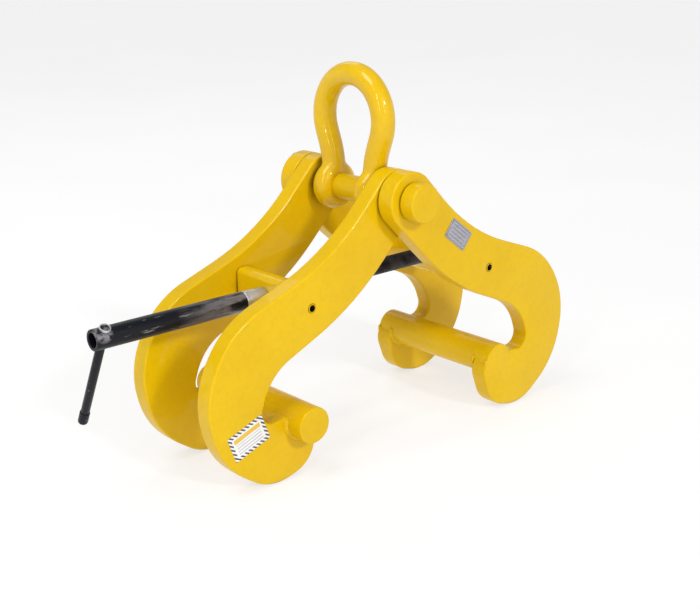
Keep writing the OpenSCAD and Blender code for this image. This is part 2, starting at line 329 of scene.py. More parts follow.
def notched(points, centre, r):
    """The outline with a round seat cut into it where the circle crosses it."""
    inside = [(p - centre).length < r for p in points]
    n = len(points)
    first = next(i for i in range(n) if inside[i] and not inside[i - 1])
    last = first
    while inside[(last + 1) % n]:
        last += 1

    def crossing(a, b):
        lo, hi = 0.0, 1.0
        for _ in range(40):
            mid = (lo + hi) / 2
            if (a.lerp(b, mid) - centre).length < r:
                hi = mid
            else:
                lo = mid
        return a.lerp(b, (lo + hi) / 2)

    entry = crossing(points[first - 1], points[first])
    leave = crossing(points[(last + 1) % n], points[last % n])
    a0, a1 = heading(entry - centre), heading(leave - centre)
    turn = -((a0 - a1) % (2 * math.pi))
    kept = [points[i % n] for i in range(last + 1, first + n)]
    return kept + arc(centre, r, a0, turn, 40)


def circle(centre, r, steps=60):
    return arc(centre, r, 0, 2 * math.pi, steps)[:-1]


def signed_area(points):
    return sum(a.x * b.y - b.x * a.y for a, b in zip(points, points[1:] + points[:1])) / 2


def inset(points, d):
    """Outline moved d to its left at every point, which is inwards for one that runs anticlockwise."""
    out = []
    for i, q in enumerate(points):
        u = (q - points[i - 1]).normalized()
        w = (points[(i + 1) % len(points)] - q).normalized()
        bisector = (Vector((-u.y, u.x)) + Vector((-w.y, w.x))).normalized()
        lean = max(bisector.dot(Vector((-u.y, u.x))), 0.35)
        out.append(q + bisector * d / lean)
    return out


def without_doubles(points):
    return [p for i, p in enumerate(points) if (p - points[i - 1]).length > 0.02]


def slab(name, outline, holes, y0, thickness, edge=1.8):
    """Plate in the XZ plane from y0 to y0 + thickness, with rounded edges round its outline and holes."""
    loops = []
    for i, points in enumerate([outline] + holes):
        points = without_doubles(points)
        if (signed_area(points) < 0) == (i == 0):
            points = points[::-1]
        loops.append(points)
    levels = []
    for k in range(5):
        a = math.pi / 2 * k / 4
        levels.append((edge * (1 - math.sin(a)), edge * (1 - math.cos(a))))
    levels.append((0.0, edge * 2))
    levels += [(d, thickness - s) for d, s in reversed(levels)]
    verts, faces, rings = [], [], []
    for points in loops:
        loop_rings = []
        for d, s in levels:
            ring = inset(points, d) if d > 1e-6 else points
            loop_rings.append(list(range(len(verts), len(verts) + len(ring))))
            verts += [world(p.x, y0 + s, p.y) for p in ring]
        rings.append(loop_rings)
        for a, b in zip(loop_rings, loop_rings[1:]):
            for k in range(len(a)):
                n = (k + 1) % len(a)
                faces.append((a[k], a[n], b[n], b[k]))
    flat = []
    for level in (0, -1):
        index = [i for r in rings for i in r[level]]
        polygons = [[Vector((verts[i].x, verts[i].z, 0)) for i in r[level]] for r in rings]
        for tri in tessellate_polygon(polygons):
            flat.append(len(faces))
            faces.append(tuple(index[i] for i in tri))
    return mesh_object(name, verts, faces, flat_faces=flat)


def mirrored_x(points):
    return [Vector((-p.x, p.y)) for p in points]


def arm(name, side, y0, body, node):
    outline = without_doubles(arm_outline())
    outline = inset(outline, math.copysign(ARM_INSET, signed_area(outline)))
    outline = notched(outline, Vector((-BAR_X, -BAR_DROP)), BAR_R + PRESS_GAP)
    holes = [circle((0, 0), PIN_R + RUN_GAP), circle((-TRUNNION_X, -TRUNNION_DROP), ROLL_PIN_R, 36)]
    if side > 0:
        outline = mirrored_x(outline)
        holes = [mirrored_x(h) for h in holes]
    o = slab(name, outline, holes, y0, PLATE_T)
    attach(o, body)
    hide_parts(node)
    return o


plates = [
    arm("front_inner_arm", -1, -INNER_Y - PLATE_T, "left_arms", "front_inner_plate"),
    arm("rear_inner_arm", -1, INNER_Y, "left_arms", "rear_inner_plate"),
    arm("front_outer_arm", 1, -HALF_WIDTH, "right_arms", "front_outer_plate"),
    arm("rear_outer_arm", 1, OUTER_Y, "right_arms", "rear_outer_plate"),
]


# ---------------------------------------------------------------- jaw bars, main pin, washer and split pin
def bar(name, side, body, node):
    profile = rounded(rod_profile(BAR_R, -HALF_WIDTH, HALF_WIDTH), 1.4, 6)
    o = lathe(name, (side * BAR_X, 0, -BAR_DROP), (0, 1, 0), profile, 96)
    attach(o, body)
    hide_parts(node)
    return o


def main_pin():
    head_y = -HALF_WIDTH - SLIDE_GAP
    tail_y = HALF_WIDTH + PIN_TAIL
    profile = [(head_y - HEAD_L, 0), (head_y - HEAD_L, HEAD_R), (head_y, HEAD_R), (head_y, PIN_R),
               (tail_y - 2, PIN_R), (tail_y, PIN_R - 2), (tail_y, 0)]
    o = lathe("pin", (0, 0, 0), (0, 1, 0), rounded(profile, 2.2, 6), 96)
    hole = rod_profile(SPLIT_HOLE_R, -30, 30)
    cut(o, lathe("pin_cutter", (0, HALF_WIDTH + SPLIT_PIN_OUT, 0), (0, 0, 1), hole, 32))
    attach(o, "left_arms")
    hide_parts("main_pin")
    return o


painted = plates + [
    bar("left_bar", -1, "left_arms", "left_jaw_bar"),
    bar("right_bar", 1, "right_arms", "right_jaw_bar"),
    main_pin(),
]


def washer():
    y0 = HALF_WIDTH + SLIDE_GAP
    profile = tube_profile(PIN_R + HAIR, WASHER_R, y0, y0 + WASHER_T, y0 + 2, 0.5, 3)
    o = lathe("washer", (0, 0, 0), (0, 1, 0), profile, 72, closed=True)
    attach(o, "left_arms")
    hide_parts("pin_washer")
    return o


def split_pin():
    """One bent wire: an eye above the main pin, and two legs through it that are sprung apart below."""
    y = HALF_WIDTH + SPLIT_PIN_OUT
    foot, eye_z = -PIN_R - 6, PIN_R + 6
    half_leg = [(7.5, foot + 1.2), (4, foot + 0.6), (1.6, foot + 3), (1.08, -PIN_R), (1.08, 0), (1.08, PIN_R)]
    left, right = [[world(side * x, y, z) for x, z in half_leg] for side in (-1, 1)]
    eye = []
    for i in range(25):
        a = math.radians(-60 + 300 * i / 24)
        eye.append(world(SPLIT_EYE_R * math.cos(a), y, eye_z + SPLIT_EYE_R * math.sin(a)))
    o = sweep("split_pin_wire", right + eye + left[::-1], SPLIT_WIRE_R, 12)
    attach(o, "left_arms")
    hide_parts("split_pin")
    return o


# ---------------------------------------------------------------- trunnions and roll pins
def flatted_round(centre, r, left, right, corner):
    """Circle of radius r with a flat at each side, left and right from its centre, and rounded corners."""
    inner = r - corner
    right_turn = math.acos((right - corner) / inner)
    left_turn = math.acos((corner - left) / inner)
    right_z, left_z = inner * math.sin(right_turn), inner * math.sin(left_turn)
    points = []
    for x, z, radius, start, end, steps in (
            (right - corner, right_z, corner, 0, right_turn, 8),
            (0, 0, r, right_turn, left_turn, 24),
            (corner - left, left_z, corner, left_turn, math.pi, 8),
            (corner - left, -left_z, corner, math.pi, 2 * math.pi - left_turn, 8),
            (0, 0, r, 2 * math.pi - left_turn, 2 * math.pi - right_turn, 24),
            (right - corner, -right_z, corner, 2 * math.pi - right_turn, 2 * math.pi, 8)):
        points += arc((centre[0] + x, centre[1] + z), radius, start, end - start, steps)
    return points


def trunnion(name, x, half_l, body, node, flats):
    """Cross bar bored for the spindle and the roll pins, round or flatted."""
    z = -TRUNNION_DROP
    if flats:
        outline = flatted_round((x, z), TRUNNION_R, OUTER_FLAT, INNER_FLAT, FLAT_CORNER_R)
        o = slab(name, outline, [], -half_l, 2 * half_l, edge=1.6)
    else:
        profile = rounded(rod_profile(TRUNNION_R, -half_l, half_l), 1.2, 4)
        o = lathe(name, (x, 0, z), (0, 1, 0), profile, 96)
    bore = lathe("bore", (x, 0, z), (1, 0, 0), rod_profile(SPINDLE_R + RUN_GAP, -30, 30), 64)
    hole = rod_profile(ROLL_PIN_R + RUN_GAP, -ROLL_BITE, ROLL_BITE)
    holes = [lathe("pin_hole", (x, end * half_l, z), (0, 1, 0), hole, 40) for end in (-1, 1)]
    cut(o, bore, *holes)
    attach(o, body)
    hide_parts(node)
    return o


trunnions = [
    trunnion("left_trunnion_bar", -TRUNNION_X, INNER_Y - 2 * SLIDE_GAP, "left_block", "left_trunnion", True),
    trunnion("right_trunnion_bar", TRUNNION_X, OUTER_Y - 2 * SLIDE_GAP, "right_nut", "right_trunnion", False),
]


def roll_pin(name, x, y0, y1):
    """Rolled pin with its slit, along Y."""
    slit = math.radians(14)
    start, turn = slit / 2, 2 * math.pi - slit
    outside = arc((x, -TRUNNION_DROP), ROLL_PIN_R - PRESS_GAP, start, turn, 36)
    inside = arc((x, -TRUNNION_DROP), ROLL_BORE_R, start, turn, 36)
    return slab(name, outside + inside[::-1], [], y0, y1 - y0, edge=0.3)


def roll_pins(name, x, face_y, body, node):
    inner = face_y - 2 * SLIDE_GAP - ROLL_BITE
    front = roll_pin("front", x, -face_y - PLATE_T, -inner)
    rear = roll_pin("rear", x, inner, face_y + PLATE_T)
    o = joined(name, front, rear)
    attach(o, body)
    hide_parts(node)
    return o


roll_pin_pairs = [
    roll_pins("left_pins", -TRUNNION_X, INNER_Y, "left_arms", "left_roll_pins"),
    roll_pins("right_pins", TRUNNION_X, OUTER_Y, "right_arms", "right_roll_pins"),
]
painted += roll_pin_pairs


# ---------------------------------------------------------------- shackle
def softened(o, iterations):
    """Fuses the parts of o into one skin and smooths it, as forging leaves it."""
    remesh = o.modifiers.new("remesh", "REMESH")
    remesh.mode = "VOXEL"
    remesh.voxel_size = 1.1 * MM
    soften = o.modifiers.new("soften", "SMOOTH")
    soften.factor = 0.6
    soften.iterations = iterations
    return applied(o)


def bow_path():
    """Middle line of the shackle's bar in x and z: each leg bends to come straight down into its ear."""
    centre = Vector((0, BOW_REACH + BOW_BAR_R - BOW_R))
    foot = Vector((BOW_FOOT_X, 0))
    offset = foot - centre
    turn = heading(offset) + math.acos(BOW_R / offset.length)
    bow = arc(centre, BOW_R, turn, math.pi - 2 * turn, 48)
    slope = (bow[0].x - foot.x) / bow[0].y
    ear_mid = (EAR_GAP / 2 + EAR_OUTER) / 2 - 0.4
    bend_z = (ear_mid - foot.x) / slope
    bend, reach = Vector((ear_mid, bend_z)), 14.0
    low, high = Vector((ear_mid, bend_z - reach)), Vector((ear_mid + slope * reach, bend_z + reach))
    leg = [Vector((ear_mid, 0))]
    leg += [low.lerp(bend, i / 8).lerp(bend.lerp(high, i / 8), i / 8) for i in range(9)]
    leg += [high.lerp(bow[0], 0.5)]
    return leg + bow + [Vector((-p.x, p.y)) for p in reversed(leg)]


def ear(side):
    """Ball-like ear, deeper than the finished one, whose flat faces are cut later."""
    y0, y1 = sorted((side * (EAR_GAP / 2 - 2), side * (EAR_OUTER + 1)))
    profile = []
    for i in range(33):
        t = math.cos(math.pi * i / 32)
        profile.append(((y0 + y1) / 2 - t * (y1 - y0) / 2, EAR_R * (1 - abs(t) ** 2.5) ** 0.4))
    return lathe("ear", (0, 0, 0), (0, 1, 0), profile, 72)


def shackle():
    """Forged bow shackle: the bow's bar flows into two flat bored ears."""
    bow = sweep("bow", [world(0, p.x, p.y) for p in bow_path()], BOW_BAR_R, 40)
    o = joined("shackle", bow, ear(-1), ear(1))
    softened(o, 10)
    cut(o, box_object("slot", (-40, -EAR_GAP / 2, -40), (40, EAR_GAP / 2, EAR_R + 6)))
    softened(o, 22)
    cut(o, lathe("bore", (0, 0, 0), (0, 1, 0), rod_profile(PIN_R + RUN_GAP, -60, 60), 72),
        box_object("front_face", (-40, -60, -40), (40, -EAR_OUTER, EAR_R + 2)),
        box_object("rear_face", (-40, EAR_OUTER, -40), (40, 60, EAR_R + 2)))
    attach(o, "shackle")
    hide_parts("shackle_bow")
    return o


shackle_piece = shackle()


# ---------------------------------------------------------------- spindle and handle
def on_spindle(name, profile, segments, closed=False):
    return lathe(name, (0, 0, -TRUNNION_DROP), (1, 0, 0), profile, segments, closed)


def thread(x0, x1):
    """Metric thread between x0 and x1: one ribbon of helical rows over the spindle's core."""
    per_turn = 30
    total = int((x1 - x0) / THREAD_PITCH * per_turn)
    across = [(0.0, -THREAD_DEPTH), (0.14, -THREAD_DEPTH), (0.50, 0.0), (0.64, 0.0)]
    verts, faces, rows = [], [], []
    for i in range(total + 1):
        a = 2 * math.pi * i / per_turn
        row = []
        for f, d in across:
            x = x0 + (i / per_turn + f) * THREAD_PITCH
            run_out = min(1.0, (x - x0) / 3, (x1 - x) / 3)
            r = SPINDLE_R - THREAD_DEPTH + (d + THREAD_DEPTH) * max(run_out, 0.02)
            row.append(len(verts))
            verts.append(world(min(x, x1), r * math.cos(a), -TRUNNION_DROP + r * math.sin(a)))
        rows.append(row)
    for i in range(total):
        for k in range(len(across) - 1):
            faces.append((rows[i][k], rows[i][k + 1], rows[i + 1][k + 1], rows[i + 1][k]))
        if i + per_turn < total:
            faces.append((rows[i][-1], rows[i + per_turn][0], rows[i + per_turn + 1][0], rows[i + 1][-1]))
    return mesh_object("thread_ribbon", verts, faces, sharp=math.radians(40))


def spindle():
    """Spigot inside the tube, taper, journal, threaded length and plain far end."""
    root = SPINDLE_R - THREAD_DEPTH - HAIR
    spigot_r, far_r = TUBE_BORE_R - HAIR, SPINDLE_R - 0.2
    taper_end = TUBE_INNER_X + TAPER_L
    profile = [(TUBE_INNER_X - SPIGOT_L, 0), (TUBE_INNER_X - SPIGOT_L, spigot_r), (TUBE_INNER_X, spigot_r),
               (TUBE_INNER_X, TUBE_R - 0.4), (TUBE_INNER_X + 0.4, TUBE_R - HAIR),
               (taper_end, TAPER_END_R), (taper_end, SPINDLE_R),
               (JOURNAL_END_X, SPINDLE_R), (JOURNAL_END_X + 2, root),
               (THREAD_END_X, root), (THREAD_END_X + 1.6, far_r),
               (SPINDLE_END_X - 2, far_r), (SPINDLE_END_X, SPINDLE_R - 2), (SPINDLE_END_X, 0)]
    core = on_spindle("core", rounded(profile, 0.35, 3), 80)
    o = joined("spindle_screw", core, thread(JOURNAL_END_X + 0.5, THREAD_END_X + 0.5))
    o.data.set_sharp_from_angle(angle=math.radians(40))
    for p in o.data.polygons:
        p.use_smooth = True
    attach(o, "spindle")
    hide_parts("spindle")
    return o


def along_tommy(name, profile, closed=False):
    direction = (0, math.sin(TOMMY_LEAN), -math.cos(TOMMY_LEAN))
    return lathe(name, (TOMMY_X, 0, -TRUNNION_DROP), direction, profile, 48, closed)


def handle_tube():
    profile = tube_profile(TUBE_BORE_R, TUBE_R, TUBE_END_X, TUBE_INNER_X, TUBE_END_X + 20, 0.7, 4)
    o = on_spindle("tube", profile, 80, closed=True)
    cut(o, along_tommy("tommy_hole", rod_profile(TOMMY_R + 0.15, -30, 30)))
    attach(o, "spindle")
    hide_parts("handle_tube")
    return o


tube = handle_tube()
screw = spindle()


def collar():
    profile = tube_profile(SPINDLE_R, COLLAR_R, COLLAR_X, COLLAR_X + COLLAR_L, COLLAR_X + 2, 0.8, 4)
    o = on_spindle("collar", profile, 64, closed=True)
    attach(o, "spindle")
    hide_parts("lock_collar")
    return o


def cross_pin(name, x, half_l, node):
    profile = rounded(rod_profile(CROSS_PIN_R, -half_l, half_l), 0.5, 4)
    o = lathe(name, (x, 0, -TRUNNION_DROP), (0, 1, 0), profile, 32)
    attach(o, "spindle")
    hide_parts(node)
    return o


ring = collar()
collar_dowel = cross_pin("collar_dowel", COLLAR_X + COLLAR_L / 2, COLLAR_R, "collar_pin")
stop_dowel = cross_pin("stop_dowel", STOP_X, SPINDLE_R + STOP_PROUD, "end_stop_pin")


# ---------------------------------------------------------------- tommy bar
def tommy():
    """Sliding bar, whose ends lie 1 mm inside the ring and 3 mm inside the sleeve."""
    start = -TOMMY_TOP - UPPER_CAP_L + 1
    end = TOMMY_L - TOMMY_TOP + LOWER_CAP_L - 3
    o = along_tommy("tommy_rod", rounded(rod_profile(TOMMY_R, start, end), 0.5, 3))
    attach(o, "tommy_bar")
    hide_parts("tommy_bar")
    return o


def upper_cap():
    """Ring peened over the top of the bar."""
    s0, s1 = -TOMMY_TOP, -TOMMY_TOP - UPPER_CAP_L
    profile = tube_profile(TOMMY_R + PRESS_GAP, UPPER_CAP_R, s0, s1, s0 - 1, 0.45, 5)
    o = along_tommy("cap_upper", profile, closed=True)
    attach(o, "tommy_bar")
    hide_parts("tommy_upper_cap")
    return o


def lower_cap():
    """Sleeve over the foot of the bar, with a domed end."""
    s0 = TOMMY_L - TOMMY_TOP
    s1 = s0 + LOWER_CAP_L
    dome = s1 - CAP_CORNER_R
    profile = [(s0, 0), (s0, LOWER_CAP_R), (dome, LOWER_CAP_R)]
    for i in range(1, 9):
        a = math.pi / 2 * i / 8
        profile.append((dome + CAP_CORNER_R * math.sin(a), LOWER_CAP_R - CAP_CORNER_R * (1 - math.cos(a))))
    profile.append((s1, 0))
    o = along_tommy("cap_lower", rounded(profile[:3], 0.5, 4)[:-1] + profile[2:])
    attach(o, "tommy_bar")
    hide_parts("tommy_lower_cap")
    return o


def cap_pin():
    along = Vector((0, math.sin(TOMMY_LEAN), -math.cos(TOMMY_LEAN)))
    across = (0, math.cos(TOMMY_LEAN), math.sin(TOMMY_LEAN))
    at = along * (TOMMY_L - TOMMY_TOP + (LOWER_CAP_L - CAP_END_T) / 2)
    profile = rounded(rod_profile(1, -LOWER_CAP_R, LOWER_CAP_R), 0.3, 3)
    o = lathe("cap_dowel", (TOMMY_X, at.y, at.z - TRUNNION_DROP), across, profile, 24)
    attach(o, "tommy_bar")
    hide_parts("tommy_cap_pin")
    return o


rod, cap_a, cap_b, dowel = tommy(), upper_cap(), lower_cap(), cap_pin()
pin_ring, cotter = washer(), split_pin()


# ---------------------------------------------------------------- weld beads round the jaw bars
def fillet_section(leg, sunk=0.4, steps=6):
    """Cross-section of a fillet weld: distances out from the bar and up from the plate."""
    section = [(-sunk, -sunk), (leg, -sunk)]
    for k in range(steps + 1):
        t = k / steps
        bulge = 0.12 * leg * math.sin(math.pi * t)
        section.append((leg * (1 - t) + bulge, leg * t + bulge))
    return section + [(-sunk, leg)]


def weld(name, side, y, toward, body):
    """Rippled fillet weld where a jaw bar sits in the lobe of a plate, on the face at y."""
    rng = random.Random(name)
    pocket_side, tip_side = math.radians(158), math.radians(378)
    steps, ripple_steps = 150, 5.0
    verts, rings = [], []
    for i in range(steps + 1):
        a = pocket_side + (tip_side - pocket_side) * i / steps
        ease = max(0.25, min(1.0, i / 6, (steps - i) / 6))
        ripple = 0.5 + 0.5 * math.sin(i * 2 * math.pi / ripple_steps)
        leg = (2.5 + 0.3 * ripple + 0.25 * rng.random()) * ease
        section = fillet_section(leg)
        rings.append(range(len(verts), len(verts) + len(section)))
        for out, up in section:
            r = BAR_R + out
            x = -BAR_X + r * math.cos(a)
            verts.append(world(-side * x, y + toward * up, -BAR_DROP + r * math.sin(a)))
    o = mesh_object(name, verts, skin(rings), sharp=math.radians(60))
    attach(o, body)
    return o


def seam(name, y, outward):
    """Weld ground almost flush where the right bar's end lies level with the plate's face at y."""
    rng = random.Random(name)
    first, last = math.radians(166), math.radians(374)
    steps, count = 150, 14
    verts, rings = [], []
    for i in range(steps + 1):
        a = first + (last - first) * i / steps
        ease = math.sqrt(max(0.04, min(1.0, i / 5, (steps - i) / 5)))
        width, height = (2.5 + 0.2 * rng.random()) * ease, (1.5 + 0.06 * rng.random()) * ease
        rings.append(range(len(verts), len(verts) + count))
        for k in range(count):
            t = 2 * math.pi * k / count
            r = BAR_R + 0.1 + width * math.cos(t)
            proud = height * math.sin(t) - 1.3
            verts.append(world(BAR_X - r * math.cos(a), y + outward * proud, -BAR_DROP + r * math.sin(a)))
    o = mesh_object(name, verts, skin(rings), sharp=math.radians(60))
    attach(o, "right_arms")
    return o


welds = [
    weld("weld_left_front_outer", -1, -INNER_Y - PLATE_T, -1, "left_arms"),
    weld("weld_left_front_inner", -1, -INNER_Y, 1, "left_arms"),
    weld("weld_left_rear_inner", -1, INNER_Y, -1, "left_arms"),
    weld("weld_left_rear_outer", -1, INNER_Y + PLATE_T, 1, "left_arms"),
    weld("weld_right_front", 1, -OUTER_Y, 1, "right_arms"),
    weld("weld_right_rear", 1, OUTER_Y, -1, "right_arms"),
    seam("seam_right_front", -HALF_WIDTH, -1),
    seam("seam_right_rear", HALF_WIDTH, 1),
]


# ---------------------------------------------------------------- serial plate, rivets and label
def rounded_rectangle(w, h, r):
    points = []
    for i, (x, y) in enumerate(((1, 1), (-1, 1), (-1, -1), (1, -1))):
        corner = (x * (w / 2 - r), y * (h / 2 - r))
        points += arc(corner, r, math.pi / 2 * i, math.pi / 2, 6)
    return points


def turned(points, angle, centre):
    """Points turned by angle in degrees, then moved to centre."""
    c, s = math.cos(math.radians(angle)), math.sin(math.radians(angle))
    return [Vector((centre[0] + p.x * c - p.y * s, centre[1] + p.x * s + p.y * c)) for p in points]


def thin_plate(name, outline, y_face, t, body, node):
    o = slab(name, outline, [], y_face - t, t, edge=min(0.12, t / 3))
    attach(o, body)
    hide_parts(node)
    return o


tag_outline = turned(rounded_rectangle(TAG_W, TAG_H, 1.2), TAG_TURN, TAG_AT)
tag = thin_plate("tag_plate", tag_outline, -HALF_WIDTH, TAG_T, "right_arms", "serial_plate")
label_outline = turned(rounded_rectangle(LABEL_W, LABEL_H, 1.5), LABEL_TURN, LABEL_AT)
sticker = thin_plate("sticker", label_outline, -INNER_Y - PLATE_T, LABEL_T, "left_arms", "blank_label")


def rivets():
    profile = [(0.0, 0.0), (0.0, RIVET_R)]
    for i in range(1, 6):
        a = math.pi / 2 * i / 5
        profile.append((RIVET_H * math.sin(a), RIVET_R * math.cos(a)))
    corners = [Vector((x * RIVET_X, z * RIVET_Z)) for x in (-1, 1) for z in (-1, 1)]
    heads = [lathe("rivet", (at.x, -HALF_WIDTH - TAG_T, at.y), (0, -1, 0), profile, 20)
             for at in turned(corners, TAG_TURN, TAG_AT)]
    o = joined("rivet_heads", *heads)
    for p in o.data.polygons:
        p.use_smooth = True
    o.data.set_sharp_from_angle(angle=math.radians(50))
    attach(o, "right_arms")
    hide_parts("plate_rivets")
    return o


rivet_heads = rivets()


# ---------------------------------------------------------------- materials
class Nodes:
    """A material's node tree with short calls for the nodes used here."""

    def __init__(self, name):
        self.mat = bpy.data.materials.new(name)
        self.mat.use_nodes = True
        self.tree = self.mat.node_tree
        self.bsdf = self.tree.nodes["Principled BSDF"]
        self.coords = self.tree.nodes.new("ShaderNodeTexCoord").outputs["Object"]

    def link(self, a, b):
        self.tree.links.new(a, b)

    def mapped(self, scale, rotation=(0, 0, 0)):
        n = self.tree.nodes.new("ShaderNodeMapping")
        n.inputs["Scale"].default_value = scale
        n.inputs["Rotation"].default_value = rotation
        self.link(self.coords, n.inputs["Vector"])
        return n.outputs["Vector"]

    def noise(self, scale, detail, roughness=0.5, vector=None):
        n = self.tree.nodes.new("ShaderNodeTexNoise")
        n.inputs["Scale"].default_value = scale
        n.inputs["Detail"].default_value = detail
        n.inputs["Roughness"].default_value = roughness
        self.link(vector or self.coords, n.inputs["Vector"])
        return n.outputs["Fac"]

    def ramp(self, fac, *stops):
        """Grey ramp between two stops, each a position and a value."""
        n = self.tree.nodes.new("ShaderNodeValToRGB")
        for element, (position, value) in zip(n.color_ramp.elements, stops):
            element.position = position
            element.color = (value, value, value, 1)
        self.link(fac, n.inputs["Fac"])
        return n.outputs["Color"]

    def mix(self, fac, a, b):
        n = self.tree.nodes.new("ShaderNodeMix")
        n.data_type = "RGBA"
        for value, socket in ((fac, n.inputs[0]), (a, n.inputs[6]), (b, n.inputs[7])):
            if hasattr(value, "is_output"):
                self.link(value, socket)
            elif isinstance(value, tuple):
                socket.default_value = (*value, 1)
            else:
                socket.default_value = value
        return n.outputs[2]

    def math(self, op, a, b=0.0):
        n = self.tree.nodes.new("ShaderNodeMath")
        n.operation = op
        for value, socket in ((a, n.inputs[0]), (b, n.inputs[1])):
            if hasattr(value, "is_output"):
                self.link(value, socket)
            else:
                socket.default_value = value
        return n.outputs[0]

    def bump(self, height, strength, distance):
        n = self.tree.nodes.new("ShaderNodeBump")
        n.inputs["Strength"].default_value = strength
        n.inputs["Distance"].default_value = distance
        self.link(height, n.inputs["Height"])
        self.link(n.outputs["Normal"], self.bsdf.inputs["Normal"])

    def set(self, **values):
        for key, value in values.items():
            socket = self.bsdf.inputs[key.replace("_", " ")]
            if hasattr(value, "is_output"):
                self.link(value, socket)
            else:
                socket.default_value = value
        return self.mat


def yellow_paint(name, worn, coat):
    """Yellow enamel under a clear coat: colour drift, orange peel, and painted shade darkening corners,
    creases and the gaps between parts; worn makes convex edges a paler yellow and chips them in patches.
    """
    n = Nodes(name)
    broad = n.noise(11, 4, 0.55)
    fine = n.noise(170, 3, 0.6)
    colour = n.mix(n.ramp(broad, (0.35, 0.0), (0.68, 1.0)), (0.735, 0.470, 0.001), (0.675, 0.420, 0.001))
    colour = n.mix(n.ramp(fine, (0.45, 0.0), (0.80, 0.30)), colour, (0.57, 0.335, 0.004))
    if worn:
        # Convex edges, found by pointiness, are painted a paler yellow, and chipped dark brown where a noise
        # patch falls on them.
        edges = n.tree.nodes.new("ShaderNodeNewGeometry").outputs["Pointiness"]
        convex_edges = n.ramp(edges, (0.53, 0.0), (0.60, 1.0))
        patchy = n.ramp(n.noise(85, 4, 0.65), (0.635, 0.0), (0.680, 1.0))
        chips = n.math("MULTIPLY", convex_edges, patchy)
        colour = n.mix(n.math("MULTIPLY", convex_edges, 0.45), colour, (0.84, 0.61, 0.005))
        colour = n.mix(n.math("MULTIPLY", chips, 0.7), colour, (0.24, 0.16, 0.06))
    # Painted shade: an ambient-occlusion mask darkens the paint to brown in corners, creases and between
    # parts, broken up by noise.
    corner = n.tree.nodes.new("ShaderNodeAmbientOcclusion")
    corner.samples = 8
    corner.inputs["Distance"].default_value = 0.011
    crease_shade = n.math("MULTIPLY", n.ramp(corner.outputs["AO"], (0.22, 1.0), (0.62, 0.0)),
                   n.ramp(n.noise(60, 4, 0.6), (0.32, 0.25), (0.62, 0.85)))
    colour = n.mix(crease_shade, colour, (0.16, 0.095, 0.012))
    peel = n.math("ADD", n.noise(380, 2, 0.5), n.math("MULTIPLY", n.noise(70, 3, 0.5), 1.8))
    n.bump(peel, 0.14, 0.0007)
    rough = n.ramp(n.noise(35, 4, 0.6), (0.3, 0.30), (0.7, 0.46))
    return n.set(Base_Color=colour, Roughness=rough, Specular_IOR_Level=0.10,
                 Coat_Weight=coat, Coat_Roughness=0.04)


def turned_steel():
    """Bright turned steel: fine rings round the spindle's axis."""
    n = Nodes("turned_steel")
    rings = n.noise(1.0, 4, 0.7, n.mapped((1400, 30, 30)))
    patches = n.noise(55, 4, 0.6)
    colour = n.mix(n.ramp(patches, (0.35, 0.0), (0.7, 1.0)), (0.70, 0.70, 0.74), (0.46, 0.46, 0.50))
    n.bump(rings, 0.25, 0.0002)
    rough = n.ramp(rings, (0.3, 0.34), (0.7, 0.52))
    return n.set(Base_Color=colour, Metallic=0.8, Roughness=rough)


def oiled_thread():
    """Dark, oily steel of the screw thread."""
    n = Nodes("oiled_thread")
    film = n.noise(60, 4, 0.6)
    colour = n.mix(n.ramp(film, (0.4, 0.0), (0.7, 1.0)), (0.030, 0.028, 0.036), (0.10, 0.095, 0.11))
    return n.set(Base_Color=colour, Metallic=0.5, Roughness=n.ramp(film, (0.3, 0.22), (0.7, 0.40)))


def black_oxide():
    """Blackened steel: a grey rub near the spindle's taper, worn streaks, and a knocked patch by the ring."""
    n = Nodes("black_oxide")
    x = n.tree.nodes.new("ShaderNodeSeparateXYZ")
    n.link(n.coords, x.inputs[0])
    rub_start, rub_length = TUBE_INNER_X * MM - 0.075, 0.06
    near_taper = n.math("MULTIPLY", n.math("SUBTRACT", x.outputs[0], rub_start), 1 / rub_length)
    near_taper = n.ramp(near_taper, (0.0, 0.0), (1.0, 1.0))
    streaks = n.noise(1.0, 5, 0.62, n.mapped((26, 170, 170)))
    specks = n.noise(240, 3, 0.6)
    heavy = n.math("MULTIPLY", n.ramp(streaks, (0.42, 0.0), (0.58, 1.0)), n.math("MULTIPLY", near_taper, 0.9))
    light = n.math("MULTIPLY", n.ramp(streaks, (0.62, 0.0), (0.68, 1.0)), 0.7)
    away = n.tree.nodes.new("ShaderNodeVectorMath")
    away.operation = "DISTANCE"
    away.inputs[1].default_value = world(TOMMY_X - 3, -TUBE_R * math.sin(TOMMY_LEAN) - 2,
                                         TUBE_R * math.cos(TOMMY_LEAN) - TRUNNION_DROP - 2)
    n.link(n.coords, away.inputs[0])
    knocked = n.ramp(n.math("MULTIPLY", away.outputs["Value"], 100), (0.6, 1.0), (0.95, 0.0))
    knocked = n.math("MULTIPLY", knocked, n.ramp(n.noise(150, 3, 0.6), (0.40, 0.0), (0.52, 0.85)))
    rub = n.math("MAXIMUM", n.math("MAXIMUM", heavy, light), knocked)
    colour = n.mix(rub, (0.0045, 0.0052, 0.009), (0.27, 0.255, 0.27))
    colour = n.mix(n.ramp(specks, (0.60, 0.0), (0.74, 0.35)), colour, (0.03, 0.024, 0.03))
    n.bump(n.math("ADD", n.math("MULTIPLY", streaks, 0.8), n.math("MULTIPLY", specks, 0.5)), 0.22, 0.0004)
    rough = n.ramp(streaks, (0.3, 0.26), (0.7, 0.42))
    return n.set(Base_Color=colour, Metallic=n.math("MULTIPLY", rub, 0.6), Roughness=rough,
                 Specular_IOR_Level=0.22)


